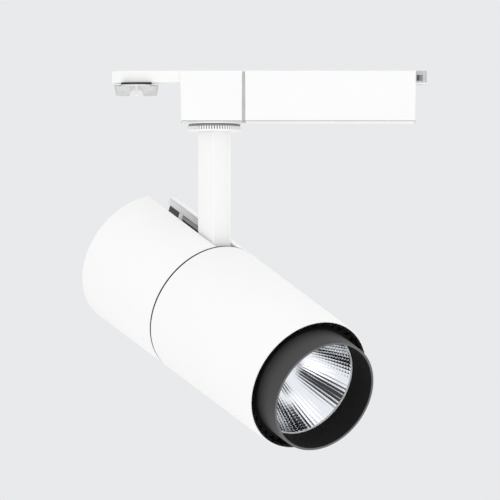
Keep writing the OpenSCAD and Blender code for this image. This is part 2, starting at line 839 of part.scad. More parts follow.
module seam_gasket() color("black") lamp_axis() {
    tube(lamp_r - gasket_inset, inner_r - seat_clear, seam_x0, seam_x1);
}

module mid_plate() color("gray") lamp_axis() difference() {
    union() {
        disc(inner_r - seat_clear, mid_x0, mid_x1);
        tube(inner_r - seat_clear, inner_r - seat_clear - skirt_t,
            mid_x0 - skirt_back - mid_t, mid_x0 + mid_t / 2);
    }
    slot_cut(skirt_cut, 0, mid_x0 - 2 * skirt_back, mid_x0);
    around_axis(boss_turns, boss_pcr) disc(screw_hole_d / 2, mid_x0 - over, mid_x1 + over);
    around_axis(tie_turns, tie_pcr) disc(tie_d / 2, mid_x0 - over, mid_x1 + over);
    translate([-pivot_rise, 0, 0]) rotate([0, -90, 0]) bracket_holes(screw_d);
}

// Screw bosses on the inside of the front drum, between two planes
module drum_bosses(x0, x1) {
    around_axis(boss_turns, boss_pcr) {
        disc(boss_r, x0, x1);
        slab(0, inner_r - boss_pcr + lamp_wall / 2, -boss_web / 2, boss_web / 2, x0, x1);
    }
}

module front_housing() color("white") lamp_axis() difference() {
    union() {
        tube(lamp_r, inner_r, seam_x1, rim_x);
        drum_bosses(mid_x1, mid_x1 + boss_len);
        drum_bosses(sink_x0 - boss_len, sink_x0);
    }
    disc(lamp_r - rim_wall, liner_seat_x, rim_x + over);
    around_axis(boss_turns, boss_pcr) {
        disc(screw_d / 2, mid_x1 - over, mid_x1 + screw_bite);
        disc(screw_d / 2, sink_x0 - screw_bite, sink_x0 + over);
    }
}

module heat_sink() color("silver") lamp_axis() difference() {
    union() {
        disc(inner_r - seat_clear, sink_x0, sink_x1);
        disc(core_r, fin_x0, sink_x0 + over);
        intersection() {
            disc(fin_r, fin_x0, sink_x0 + over);
            for (i = [0 : fin_count - 1])
                translate([0, (i - (fin_count - 1) / 2) * 2 * fin_r / fin_count, 0])
                    slab(-fin_r, fin_r, -fin_t / 2, fin_t / 2, fin_x0, sink_x0 + over);
        }
    }
    around_axis(boss_turns, boss_pcr) disc(screw_hole_d / 2, sink_x0 - over, sink_x1 + over);
}

module drum_screws() color("silver") lamp_axis() {
    around_axis(boss_turns, boss_pcr) {
        translate([0, 0, sink_x1])
            screw(screw_d, screw_head_d, screw_head_h, sink_base_t + screw_bite - screw_end);
        translate([0, 0, mid_x0]) mirror([0, 0, 1])
            screw(screw_d, screw_head_d, screw_head_h, mid_t + screw_bite - screw_end);
    }
}

module led_board() color("lightgray") lamp_axis() disc(led_board_d / 2, sink_x1, sink_x1 + led_board_t);

module led_emitter() color("khaki") lamp_axis()
    disc(emitter_d / 2, sink_x1 + led_board_t, sink_x1 + led_board_t + emitter_t);

module led_holder() color("white") lamp_axis()
    tube(led_board_d / 2 + holder_past, throat_r, sink_x1 + led_board_t, throat_x);

// Paraboloid cup: the square of the radius grows evenly along the axis
function cup_r(x) = sqrt(throat_r * throat_r + focal4 * (x - throat_x));
function cup_x(i) = throat_x + (reflector_depth - reflector_t) * i / reflector_steps;

module reflector() color("lightsteelblue") lamp_axis() {
    rotate_extrude() polygon(concat(
        [for (i = [0 : reflector_steps]) [cup_r(cup_x(i)), cup_x(i)]],
        [[mouth_r, mouth_x], [baffle_r, mouth_x], [baffle_r, mouth_x - reflector_t]],
        [for (i = [reflector_steps : -1 : 0]) [cup_r(cup_x(i)) + reflector_t, cup_x(i)]]));
}

module front_liner() color("black") lamp_axis() difference() {
    union() {
        tube(liner_r, liner_r - liner_wall, liner_seat_x, liner_front_x);
        tube(liner_r - liner_wall / 2, sleeve_r, web_x1 - web_t, web_x1);
        tube(sleeve_r + sleeve_t, sleeve_r, mouth_x - reflector_t - web_t, web_x1 + sleeve_t);
        tube(sleeve_r + sleeve_t, mouth_r + reflector_t + seat_clear,
            mouth_x - reflector_t - web_t, mouth_x - reflector_t);
    }
    around_axis([for (i = [0 : vent_count - 1]) i * 360 / vent_count], 0)
        slab(vent_r - vent_h / 2, vent_r + vent_h / 2, -vent_w / 2, vent_w / 2,
            web_x1 - web_t - over, web_x1 + over);
    around_axis([for (i = [0 : notch_count - 1]) i * 360 / notch_count], 0)
        slab(liner_r - 2 * liner_wall, lamp_r, -notch_w / 2, notch_w / 2,
            liner_front_x - notch_deep, rim_x);
}

module anti_glare_baffle() color("black") lamp_axis() {
    tube(baffle_r, baffle_in_r, mouth_x, rim_x + baffle_out);
}

adapter_bar();
swivel_box_cover();
driver_box_cover();
feed_through();
swivel_plate();
swivel_bush();
box_screws();
driver_circuit_board();
driver_transformer();
driver_capacitors();
driver_inductor();
input_terminal_block();
board_screws();
contact_carrier();
contact_springs();
lock_knob();
lock_shaft();
lock_blade();
lock_clip();
swivel_stem();
swivel_nut();
swivel_washer();
swivel_ring();
arm_flange();
arm_channel();
arm_cover();
arm_cover_screws();
pivot_bush();
pivot_pin();
pivot_nut();
tilt_washers();
hinge_bracket();
bracket_screws();
rear_housing();
rear_cover();
slot_liner();
tie_screws();
seam_gasket();
mid_plate();
front_housing();
heat_sink();
drum_screws();
led_board();
led_emitter();
led_holder();
reflector();
front_liner();
anti_glare_baffle();
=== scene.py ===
"""Track spotlight: the finished surfaces, light and camera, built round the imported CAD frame."""
import json
import math

import bmesh
import bpy
import numpy as np
from bpy.props import FloatProperty, FloatVectorProperty, IntProperty, PointerProperty
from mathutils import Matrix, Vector


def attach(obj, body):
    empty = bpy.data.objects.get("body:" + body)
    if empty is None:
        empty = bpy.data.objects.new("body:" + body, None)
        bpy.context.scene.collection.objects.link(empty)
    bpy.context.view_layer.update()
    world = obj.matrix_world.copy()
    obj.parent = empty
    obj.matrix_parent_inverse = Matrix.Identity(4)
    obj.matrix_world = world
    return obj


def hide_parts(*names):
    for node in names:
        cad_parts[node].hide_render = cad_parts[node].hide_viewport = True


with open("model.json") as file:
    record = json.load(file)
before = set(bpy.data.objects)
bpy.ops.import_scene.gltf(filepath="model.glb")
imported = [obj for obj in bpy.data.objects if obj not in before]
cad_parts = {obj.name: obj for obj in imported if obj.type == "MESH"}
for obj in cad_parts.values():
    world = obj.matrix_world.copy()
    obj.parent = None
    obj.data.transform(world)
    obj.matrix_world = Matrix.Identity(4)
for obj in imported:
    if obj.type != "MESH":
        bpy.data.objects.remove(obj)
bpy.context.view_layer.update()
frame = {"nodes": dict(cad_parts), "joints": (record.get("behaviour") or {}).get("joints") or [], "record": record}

bl_info = {
    "name": "Track Spotlight",
    "version": (1, 0, 0),
    "blender": (4, 5, 0),
    "location": "View3D > Sidebar > Spotlight",
    "description": "Builds the finished surfaces of a track spotlight round its CAD frame",
    "category": "Add Mesh",
}

MM = 0.001
FULL_TURN = 2 * math.pi
# Points round the lamp's axis, round a smaller circle and along a rounded corner or edge
ROUND_STEPS = 240
CIRCLE_STEPS = 180
ARC_STEPS = 5
QUARTER = np.linspace(0, math.pi / 2, ARC_STEPS)
# Orders of the axes that lay a shape drawn flat, with its height last, along X or along Y
ALONG_X = [2, 0, 1]
ALONG_Y = [0, 2, 1]
# Room that the CAD leaves round a seated ring
SEAT_GAP = 0.1 * MM


def mm(*sizes):
    """Sizes in metres from sizes in millimetres."""
    return [size * MM for size in sizes]


# Frames of the bodies

def joint(name):
    """The CAD joint with this name."""
    return next(j for j in frame["joints"] if j["name"] == name)


def turn_y(angle):
    """Matrix that turns +Z towards +X."""
    c, s = math.cos(angle), math.sin(angle)
    return np.array([[c, 0, s], [0, 1, 0], [-s, 0, c]])


def turn_z(angle):
    """Matrix that turns +X towards +Y."""
    c, s = math.cos(angle), math.sin(angle)
    return np.array([[c, -s, 0], [s, c, 0], [0, 0, 1]])


TILT_JOINT = joint("lamp_tilt")
PAN = math.atan2(-TILT_JOINT["axis"][0], TILT_JOINT["axis"][1])
DROOP = math.radians(-TILT_JOINT["range_deg"][0])
# A place is an origin and a matrix whose columns are the local axes
ROW = (np.zeros(3), np.eye(3))
LOCK = (np.array(joint("lock_turn")["pos_m"]), np.eye(3))
ARM = (np.zeros(3), turn_z(PAN))
LAMP = (np.array(TILT_JOINT["pos_m"]), turn_z(PAN) @ turn_y(DROOP))
PLACES = {"adapter": ROW, "lock_lever": LOCK, "arm": ARM, "lamp": LAMP}


def node_box(node, place=ROW):
    """Lowest and highest corner of a CAD node, along the axes of a place."""
    mesh = frame["nodes"][node].data
    co = np.empty(len(mesh.vertices) * 3)
    mesh.vertices.foreach_get("co", co)
    origin, axes = place
    local = (co.reshape(-1, 3) - origin) @ axes
    return local.min(0), local.max(0)


DRUM_LOW, DRUM_HIGH = node_box("front_housing", LAMP)
# Height of the lamp's axis over the pivot, and the drums' radius
AXIS_Z, DRUM_R = (DRUM_LOW[2] + DRUM_HIGH[2]) / 2, (DRUM_HIGH[1] - DRUM_LOW[1]) / 2


# Surfaces

def unit(vectors):
    """Vectors scaled to length one."""
    return vectors / np.linalg.norm(vectors, axis=-1, keepdims=True)


def grid_faces(rows, cols, close_rows, close_cols):
    """Quads of a grid stored row by row; a closed direction joins its last line to its first."""
    r = np.arange(rows if close_rows else rows - 1)[:, None]
    c = np.arange(cols if close_cols else cols - 1)[None, :]
    r_next, c_next = (r + 1) % rows, (c + 1) % cols
    quads = np.broadcast_arrays(r * cols + c, r * cols + c_next, r_next * cols + c_next, r_next * cols + c)
    return np.stack(quads, -1).reshape(-1, 4)


def rounded(corners, radius):
    """Closed outline whose corners are arcs: each is tangent to both sides and swept between them."""
    p = np.asarray(corners, float)
    radius = np.broadcast_to(np.asarray(radius, float), len(p))[:, None]
    back, ahead = unit(np.roll(p, 1, 0) - p), unit(np.roll(p, -1, 0) - p)
    half = 0.5 * np.arccos(np.clip((back * ahead).sum(1), -1, 1))[:, None]
    centre = p + unit(back + ahead) * radius / np.sin(half)
    start = p + back * radius / np.tan(half) - centre
    end = p + ahead * radius / np.tan(half) - centre
    sweep = (math.pi - 2 * half)[:, None]
    s = np.linspace(0, 1, ARC_STEPS)[None, :, None]
    arc = (np.sin((1 - s) * sweep) * start[:, None] + np.sin(s * sweep) * end[:, None]) / np.sin(sweep)
    return (centre[:, None] + arc).reshape(-1, 2)


def rectangle(low, high):
    """Corners of a rectangle, anticlockwise."""
    return np.array([[low[0], low[1]], [high[0], low[1]], [high[0], high[1]], [low[0], high[1]]])


def circle(radius, steps=CIRCLE_STEPS):
    """Points of a circle, anticlockwise."""
    a = full_turn(steps)
    return radius * np.stack([np.cos(a), np.sin(a)], -1)


def drawn_in(outline, inset):
    """Closed anticlockwise outline moved inwards along its normals, once for each inset."""
    tangent = np.roll(outline, -1, 0) - np.roll(outline, 1, 0)
    normal = unit(np.stack([tangent[:, 1], -tangent[:, 0]], -1))
    return outline[None] - np.atleast_1d(inset)[:, None, None] * normal[None]


def raised(loops, levels):
    """Flat loops, each lifted to its own level."""
    loops = np.asarray(loops)
    level = np.asarray(levels)[:, None, None]
    return np.concatenate([loops, np.broadcast_to(level, loops.shape[:2] + (1,))], -1)


def pillow(outline, low, high, edge):
    """Outline carried from low to high; at both ends it is drawn in along a quarter circle."""
    inset, depth = edge * (1 - np.sin(QUARTER)), edge * (1 - np.cos(QUARTER))
    flat = drawn_in(outline, np.concatenate([inset, inset[::-1]]))
    return raised(flat, np.concatenate([low + depth, high - depth[::-1]]))


class Surface:
    """Patches gathered into one mesh, each with its points and faces."""

    def __init__(self):
        self.points, self.quads, self.caps, self.count = [], [], [], 0

    def add(self, points, quads, caps=()):
        """A patch: points, quads and flat end faces that index them."""
        points = np.asarray(points, float).reshape(-1, 3)
        self.points.append(points)
        self.quads.append(np.asarray(quads).reshape(-1, 4) + self.count)
        self.caps += [np.asarray(cap) + self.count for cap in caps]
        self.count += len(points)
        return self

    def stack(self, loops):
        """Closed loops joined one to the next, with a flat face over the first and the last."""
        rows, cols = loops.shape[:2]
        first = np.arange(cols)
        return self.add(loops, grid_faces(rows, cols, False, True), [first, first + (rows - 1) * cols])

    def ring(self, loops):
        """Closed loops joined one to the next and the last to the first."""
        rows, cols = loops.shape[:2]
        return self.add(loops, grid_faces(rows, cols, True, True))


def make_piece(name, surface, body, slot, stands_for=(), crease=35, marks=None):
    """Mesh object of a surface: placed, merged, turned outwards, finished and set on its body.

    Marks are named arrays with one number for each point, which the finish can read."""
    merge = 0.002 * MM
    origin, axes = PLACES[body]
    points = np.concatenate(surface.points) @ axes.T + origin
    faces = np.concatenate(surface.quads).tolist() + [cap.tolist() for cap in surface.caps]
    mesh = bpy.data.meshes.new(name)
    mesh.from_pydata(points.tolist(), [], faces)
    for mark, values in (marks or {}).items():
        layer = mesh.attributes.new(mark, "FLOAT", "POINT")
        layer.data.foreach_set("value", np.asarray(values, float).ravel())
    bm = bmesh.new()
    bm.from_mesh(mesh)
    bmesh.ops.remove_doubles(bm, verts=bm.verts, dist=merge)
    bmesh.ops.recalc_face_normals(bm, faces=bm.faces)
    bm.to_mesh(mesh)
    bm.free()
    mesh.shade_smooth()
    mesh.set_sharp_from_angle(angle=math.radians(crease))
    piece = bpy.data.objects.new(name, mesh)
    bpy.context.scene.collection.objects.link(piece)
    mesh.materials.append(finish_of(slot))
    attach(piece, body)
    if stands_for:
        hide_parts(*stands_for)


# Lamp shapes, in the lamp's frame: X to the front, Y along the pin, Z up from the pivot

def full_turn(steps=ROUND_STEPS):
    """Angles of a whole turn, the last one short of the first."""
    return np.arange(steps) * FULL_TURN / steps


def about_axis(x, r, angle):
    """Points along the lamp's axis by x, a radius and an angle; angle 0 is the top, at the slot."""
    return np.stack(np.broadcast_arrays(x, r * np.sin(angle), AXIS_Z + r * np.cos(angle)), -1)


def lamp_loops(outline, angles):
    """Outline of (x, radius) points carried round the lamp's axis."""
    return about_axis(outline[:, 0], outline[:, 1], angles[:, None])


def lamp_ring(name, outline, slot, stands_for=()):
    """Piece of the lamp whose outline is carried once round the axis."""
    make_piece(name, Surface().ring(lamp_loops(outline, full_turn())), "lamp", slot, stands_for)


def lay_bar(surface, across, levels, ends, corner, edge):
    """Bar along X between its ends: a rounded rectangle in Y and Z, drawn in at both ends."""
    outline = rounded(rectangle((across[0], levels[0]), (across[1], levels[1])), corner)
    surface.stack(pillow(outline, ends[0], ends[1], edge)[..., ALONG_X])


def slotted_loops(outlines, half_widths, shares):
    """As lamp_loops, but each loop's angle starts where its points reach a half width beside the slot.

    The angle is asin(half width / radius) at share 0 and a whole turn less that at share 1."""
    x, r = outlines[..., 0], outlines[..., 1]
    start = np.arcsin(half_widths[:, None] / r)
    return about_axis(x, r, start + shares[:, None] * (FULL_TURN - 2 * start))


# Materials

# Colour sockets of a Mix node
MIX_LOW, MIX_HIGH, MIX_OUT = 6, 7, 2


def feed(tree, node, inputs):
    """Sets a node's inputs, by name or number, to values or links them to sockets."""
    for key, value in inputs.items():
        if isinstance(value, bpy.types.NodeSocket):
            tree.links.new(value, node.inputs[key])
        else:
            node.inputs[key].default_value = value


def add_node(tree, kind, inputs, **settings):
    """A new node with its settings and inputs."""
    node = tree.nodes.new(kind)
    for name, value in settings.items():
        setattr(node, name, value)
    feed(tree, node, inputs)
    return node


def mixed(tree, value, low, high):
    """Colour between two, each a socket or three numbers, by a value of 0 to 1."""
    low, high = (c if isinstance(c, bpy.types.NodeSocket) else (*c, 1) for c in (low, high))
    inputs = {MIX_LOW: low, MIX_HIGH: high, "Factor": value}
    return add_node(tree, "ShaderNodeMix", inputs, data_type="RGBA").outputs[MIX_OUT]


def ranged(tree, value, start, end, low, high):
    """A value of start to end, mapped onto low to high."""
    inputs = {"Value": value, "From Min": start, "From Max": end, "To Min": low, "To Max": high}
    return add_node(tree, "ShaderNodeMapRange", inputs).outputs["Result"]


def joined(tree, operation, first, second):
    """Two values joined by a Math node's operation."""
    return add_node(tree, "ShaderNodeMath", {0: first, 1: second}, operation=operation).outputs[0]


class Finish:
    """A node material with a Principled shader, and short calls for its procedural patterns."""

    def __init__(self, name, color, rough, metal=0.0, spec=0.5):
        self.material = bpy.data.materials.new(name)
        self.material.use_nodes = True
        self.tree, self.color = self.material.node_tree, color
        self.shade({"Base Color": (*color, 1), "Roughness": rough, "Metallic": metal,
                    "Specular IOR Level": spec})
        self.place = add_node(self.tree, "ShaderNodeTexCoord", {}).outputs["Object"]

    def shade(self, inputs):
        """Sets inputs of the shader."""
        feed(self.tree, self.tree.nodes["Principled BSDF"], inputs)

    def mark(self, name):
        """A number that the piece carries at each of its points."""
        return add_node(self.tree, "ShaderNodeAttribute", {}, attribute_name=name).outputs["Fac"]

    def noise(self, per_metre, detail=3.0, stretch=(1, 1, 1)):
        """Noise over the object's own coordinates, with its cells drawn out by a stretch."""
        mapping = add_node(self.tree, "ShaderNodeMapping", {"Vector": self.place, "Scale": stretch})
        inputs = {"Vector": mapping.outputs["Vector"], "Scale": per_metre, "Detail": detail}
        return add_node(self.tree, "ShaderNodeTexNoise", inputs).outputs["Fac"]

    def gloss(self, value, low, high, start=0.3, end=0.7):
        """Roughness of low to high from a value of start to end."""
        self.shade({"Roughness": ranged(self.tree, value, start, end, low, high)})

    def tint(self, value, shift):
        """Colour between two shades of the base colour, a shift to either side of it."""
        dark = [c * (1 - shift) for c in self.color]
        light = [min(1.0, c * (1 + shift)) for c in self.color]
        return self.blend(value, dark, light)

    def blend(self, value, low, high):
        """Base colour between two colours, which may be sockets, by a value of 0 to 1."""
        color = mixed(self.tree, value, low, high)
        self.shade({"Base Color": color})
        return color

    def grain(self, value, strength, depth):
        """Bump from a value, with its depth in millimetres."""
        inputs = {"Strength": strength, "Distance": depth * MM, "Height": value}
        self.shade({"Normal": add_node(self.tree, "ShaderNodeBump", inputs).outputs["Normal"]})


def coat_finish(name, color, rough, orange_peel=0.12, spec=0.5):
    """Sprayed coat: even colour, cloudy gloss and the fine orange peel of the powder."""
    f = Finish(name, color, rough, spec=spec)
    f.tint(f.noise(30), 0.012)
    f.gloss(f.noise(90), rough - 0.05, rough + 0.05)
    f.grain(f.noise(1600, 2.0), orange_peel, 0.03)
    return f.material


FLOCK_ROUGH = 0.95


def baffle_finish(name, color, rough, inside, edge):
    """Black coat, with a flocked lining and a lighter front rim that is a painted highlight along its edges, on
    the faces that the piece marks as such.
    """
    f = Finish(name, color, rough, spec=0.28)
    coat = f.tint(f.noise(60), 0.05)
    lined = f.mark("inside")
    lining = f.blend(lined, coat, inside)
    # The lighter grey on the marked front rim is a painted highlight
    f.blend(f.mark("rim"), lining, edge)
    f.gloss(lined, rough, FLOCK_ROUGH, 0, 1)
    f.grain(f.noise(1800, 2.0), 0.2, 0.03)
    return f.material


def plastic_finish(name, color, rough, spec=0.5, grain=0.1, grey_and_edge_shade=None):
    """Moulded plastic: a little colour drift and a fine grain; where the piece carries the mark, the colour moves
    towards a second one, which on the knob is the clear plastic's grey and, at the wing edges, painted shade.
    """
    f = Finish(name, color, rough, spec=spec)
    shade = f.tint(f.noise(45), 0.015)
    if grey_and_edge_shade is not None:
        f.blend(f.mark("grey_and_edge_shade"), shade, grey_and_edge_shade)
    f.gloss(f.noise(140), rough - 0.06, rough + 0.06)
    f.grain(f.noise(2600, 3.0), grain, 0.02)
    return f.material


def metal_finish(name, color, rough, stretch=(1, 1, 14)):
    """Turned or drawn metal: fine lines along one direction in gloss and bump."""
    f = Finish(name, color, rough, metal=1.0)
    lines = f.noise(700, 4.0, stretch)
    f.tint(lines, 0.06)
    f.gloss(lines, rough - 0.08, rough + 0.1)
    f.grain(lines, 0.12, 0.02)
    return f.material


def mirror_finish(name, color, rough):
    """Vapour-coated mirror with a faint haze that drifts over it."""
    f = Finish(name, color, rough, metal=1.0)
    f.gloss(f.noise(120), rough, rough + 0.02)
    f.tint(f.noise(60), 0.01)
    return f.material


def laminate_finish(name, color, rough):
    """Circuit laminate: solder mask over a faint weave."""
    f = Finish(name, color, rough)
    f.tint(f.noise(900, 1.0, (1, 4, 1)), 0.15)
    f.gloss(f.noise(300), rough - 0.1, rough + 0.1)
    f.grain(f.noise(1200, 1.0, (4, 1, 1)), 0.1, 0.03)
    return f.material


def phosphor_finish(name, color, rough):
    """Phosphor layer: granular yellow with soft spots over the chips."""
    f = Finish(name, color, rough)
    f.tint(f.noise(700, 1.0), 0.12)
    f.gloss(f.noise(900), rough - 0.1, rough + 0.1)
    f.grain(f.noise(2200), 0.2, 0.05)
    return f.material


FINISHES = {}


def finish_of(slot):
    """The material for a slot of the record, made on first use from the add-on's colours."""
    if slot not in FINISHES:
        look = bpy.context.scene.spotlight_finish
        # The finish, its colour and roughness, and what else that finish takes
        makers = {
            "white_coat": (coat_finish, look.white_coat, 0.45),
            "white_plastic": (plastic_finish, look.white_plastic, 0.38),
            # The last colour is the knob's grey: the clear plastic's tone, and painted shade at the wing edges
            "clear_white_plastic": (plastic_finish, look.white_plastic, 0.25, 0.5, 0.06, look.knob_plastic),
            # The last colour paints a highlight on the baffle's front rim
            "black_coat": (baffle_finish, look.black_coat, 0.55, look.flock, look.rim_highlight),
            "black_plastic": (plastic_finish, look.black_plastic, 0.6, 0.1),
            "black_rubber": (plastic_finish, look.black_plastic, 0.75, 0.05),
            "grey_plastic": (plastic_finish, look.grey_plastic, 0.5),
            "grey_rubber": (plastic_finish, look.grey_rubber, 0.7, 0.2),
            "dark_plastic": (plastic_finish, look.dark_plastic, 0.5, 0.3),
            "steel": (metal_finish, look.steel, 0.32),
            "black_steel": (coat_finish, look.black_plastic, 0.5, 0.2, 0.06),
            "contact_brass": (metal_finish, look.brass, 0.28, (14, 1, 1)),
            "bush_bronze": (metal_finish, look.bronze, 0.4),
            "bare_aluminium": (metal_finish, look.aluminium, 0.38),
            "mirror_metal": (mirror_finish, look.mirror, 0.015),
            "circuit_laminate": (laminate_finish, look.laminate, 0.4),
            "winding_tape": (plastic_finish, look.tape, 0.35),
            "capacitor_sleeve": (plastic_finish, look.sleeve, 0.25),
            "copper_wire": (metal_finish, look.copper, 0.3, (1, 6, 1)),
            "phosphor": (phosphor_finish, look.phosphor, 0.6),
        }
        maker, *values = makers[slot]
        FINISHES[slot] = maker(slot, *values)
    return FINISHES[slot]


# Settings that a user would change

def length(name, description, default):
    """A size in metres from a default in millimetres."""
    return FloatProperty(name=name, description=description, default=default * MM, min=0.0, unit="LENGTH")


def tone(name, description, default):
    """A colour property."""
    return FloatVectorProperty(name=name, description=description, default=default, size=3, min=0.0, max=1.0,
                               subtype="COLOR")


def strength(name, description, default):
    """A light's strength or power."""
    return FloatProperty(name=name, description=description, default=default, min=0.0)


class SpotlightSizes(bpy.types.PropertyGroup):
    """Sizes of the finished surfaces that the CAD frame leaves open"""
    drum_edge: length("Drum edge", "Rounding of the rear drum's back rim", 0.5)
    rim_edge: length("Rim edge", "Rounding of the front drum's mouth", 0.85)
    seam_edge: length("Seam edge", "Rounding of the drums' edges at the seam", 0.12)
    slot_edge: length("Slot edge", "Rounding of the slot's edges", 0.4)
    box_corner: length("Box corner", "Rounding of the boxes' upright corners", 1.2)
    box_edge: length("Box edge", "Rounding of the boxes' edges", 0.3)
    arm_edge: length("Arm edge", "Rounding of the arm's edges", 0.5)
    baffle_edge: length("Baffle edge", "Rounding of the baffle's rims", 0.35)
    cup_facets: IntProperty(name="Cup facets", description="Facets round the mirror cup", default=90, min=24)
    cup_rings: IntProperty(name="Cup rings", description="Rings of facets along the cup", default=20, min=6)
    cup_depth: length("Cup depth", "Depth of the mirror cup from its mouth to its throat", 40.0)
    cup_throat: length("Cup throat", "Radius of the mirror cup at its throat", 12.0)
    cup_lip: length("Cup lip", "Width of the mirror cup's flat front lip, most of it under the baffle", 2.6)
    flute_bulge: length("Flute bulge", "How far a facet swells into the cup across its flute", 0.05)
    ring_bulge: length("Ring bulge", "How far a facet swells into the cup along its ring", 0.03)


class SpotlightFinish(bpy.types.PropertyGroup):
    """Colours of the finishes"""
    white_coat: tone("White coat", "Powder coat of drums and arm", (0.9, 0.9, 0.897))
    white_plastic: tone("White plastic", "Moulded boxes", (0.9,) * 3)
    # Grey of the knob's clear plastic; at the wing edges it is painted shade along their outlines
    knob_plastic: tone("Knob plastic", "Wings of the knob at their edges", (0.55, 0.56, 0.57))
    black_coat: tone("Black coat", "Outside of the baffle tube", (0.052,) * 3)
    flock: tone("Flock", "Lining of the baffle tube", (0.011, 0.011, 0.0115))
    # Lighter grey that paints the highlight along the baffle's front rim
    rim_highlight: tone("Rim highlight", "Front rim of the baffle tube", (0.14,) * 3)
    black_plastic: tone("Black plastic", "Liner, gasket and blade", (0.007,) * 3)
    grey_plastic: tone("Grey plastic", "Swivel ring and bush", (0.22, 0.22, 0.225))
    grey_rubber: tone("Grey rubber", "Spacer between the boxes and shoe on the stub", (0.5,) * 3)
    # Also the colour of the painted shade behind the flange's teeth and in the left part of the stub's window
    dark_plastic: tone("Dark plastic", "Trough behind the slot", (0.075, 0.075, 0.078))
    steel: tone("Steel", "Screws, pins and nuts", (0.56, 0.57, 0.58))
    brass: tone("Brass", "Contacts", (0.78, 0.58, 0.24))
    bronze: tone("Bronze", "Pivot bush", (0.55, 0.34, 0.16))
    aluminium: tone("Aluminium", "Heat sink and plates", (0.7, 0.71, 0.72))
    mirror: tone("Mirror", "Reflector cup", (0.9, 0.915, 0.94))
    laminate: tone("Laminate", "Circuit board", (0.02, 0.13, 0.05))
    tape: tone("Winding tape", "Transformer", (0.65, 0.48, 0.06))
    sleeve: tone("Capacitor sleeve", "Capacitors", (0.012, 0.02, 0.08))
    copper: tone("Copper", "Inductor winding", (0.5, 0.2, 0.08))
    phosphor: tone("Phosphor", "Emitter", (0.8, 0.62, 0.1))


class SpotlightStage(bpy.types.PropertyGroup):
    """Backdrop, lamps and camera"""
    backdrop: tone("Backdrop", "Floor and background", (0.812, 0.82, 0.836))
    world_light: strength("World light", "Strength of the even light", 1.02)
    flag_light: strength("Flag light", "Light left in the dark flags that mirrors show", 0.06)
    key_light: strength("Key light", "Power of the strongest soft lamp in watts", 1.35)
    frame_height: length("Frame height", "Height of the camera's view", 321.0)
    camera_pitch: FloatProperty(name="Camera pitch", description="Upward pitch of the camera",
                                default=math.radians(2.8), subtype="ANGLE")


# Pieces of the lamp

class SPOTLIGHT_OT_drums(bpy.types.Operator):
    """Front drum, and rear drum with the slot for the arm"""
    bl_idname = "spotlight.drums"
    bl_label = "Drums"

    def execute(self, context):
        sizes = context.scene.spotlight_sizes
        inner = node_box("mid_plate", LAMP)[1][1] + SEAT_GAP
        self.front_drum(sizes, inner)
        self.rear_drum(sizes, inner)
        self.seam_band(inner)
        return {"FINISHED"}

    def front_drum(self, sizes, inner):
        """Tube with a thinner wall at its mouth: one outline carried round the axis."""
        liner_low, liner_high = node_box("front_liner", LAMP)
        back, front, seat, lip_r = DRUM_LOW[0], DRUM_HIGH[0], liner_low[0], liner_high[1] + SEAT_GAP
        corners = [[back, inner], [back, DRUM_R], [front, DRUM_R],
                   [front, lip_r], [seat, lip_r], [seat, inner]]
        fine, ledge = mm(0.1, 0.05)
        outline = rounded(corners, [sizes.seam_edge, sizes.seam_edge, sizes.rim_edge, fine, ledge, ledge])
        lamp_ring("drum_front", outline, "white_coat", ["front_housing"])

    def rear_drum(self, sizes, inner):
        """Tube open along its top: at the slot its outline is drawn in on a quarter circle.

        Lips and posts hang from the slot's edges as rounded bars."""
        liner_past_slot, liner_floor, seam_gap = mm(2.7, 1.2, 1)
        low, high = node_box("rear_housing", LAMP)
        post = low[0] + np.array(mm(13.4, 17.4))
        liner_low, liner_high = node_box("slot_liner", LAMP)
        slot_half = liner_high[1] - liner_past_slot
        walls = (liner_low[2] + liner_floor, liner_high[2])
        edge, slot_edge = sizes.drum_edge, sizes.slot_edge
        rising, falling = slot_edge * (1 - np.cos(QUARTER)), slot_edge * (1 - np.sin(QUARTER))
        main = np.linspace(0, 1, num=220)
        inset = np.concatenate([falling, 0 * main, rising])
        beside = slot_half + np.concatenate([rising, 0 * main + slot_edge, falling])
        share = np.concatenate([0 * QUARTER, main, 0 * QUARTER + 1])
        corners = rectangle((low[0], inner), (high[0], DRUM_R))
        outline = rounded(corners, [edge, sizes.seam_edge, sizes.seam_edge, edge])
        surface = Surface().stack(slotted_loops(drawn_in(outline, inset), beside, share))
        self.slot_bars(surface, slot_half, walls, (low[0], high[0]), post)
        make_piece("drum_rear", surface, "lamp", "white_coat", ["rear_housing"])
        self.trough_ribs(slot_half, walls, (post[1], high[0] - seam_gap))

    def seam_band(self, inner):
        """Rubber band that nearly fills the seam: a rounded outline carried round the axis."""
        low, high = node_box("seam_gasket", LAMP)
        sunk, edge = mm(0.15, 0.1)
        outline = rounded(rectangle((low[0], inner), (high[0], DRUM_R - sunk)), edge)
        lamp_ring("seam_band", outline, "black_rubber", ["seam_gasket"])

    def slot_bars(self, surface, slot_half, walls, ends, post):
        """Two lips along the slot and a post under each, which reaches up into its lip."""
        thick, edge, under_crown, overlap = mm(1.5, 0.3, 1.9, 1)
        floor, lip_low = walls
        for side in (-1, 1):
            across = sorted((side * slot_half, side * (slot_half + thick)))
            lay_bar(surface, across, (lip_low, AXIS_Z + DRUM_R - under_crown), ends, edge, edge)
            lay_bar(surface, across, (floor, lip_low + overlap), post, edge, edge)

    def trough_ribs(self, slot_half, walls, ends, ribs=4, fill=0.3):
        """Fine ribs along both walls of the trough, between the post and the seam."""
        face, root, corner, edge = mm(0.8, 1.6, 0.3, 0.2)
        floor, lip_low = walls
        pitch = (lip_low - floor) / ribs
        surface = Surface()
        for side in (-1, 1):
            across = sorted((side * (slot_half + face), side * (slot_half + root)))
            for level in floor + pitch * (np.arange(ribs) + 0.5):
                lay_bar(surface, across, (level - fill * pitch, level + fill * pitch), ends, corner, edge)
        make_piece("trough_ribs", surface, "lamp", "grey_rubber")


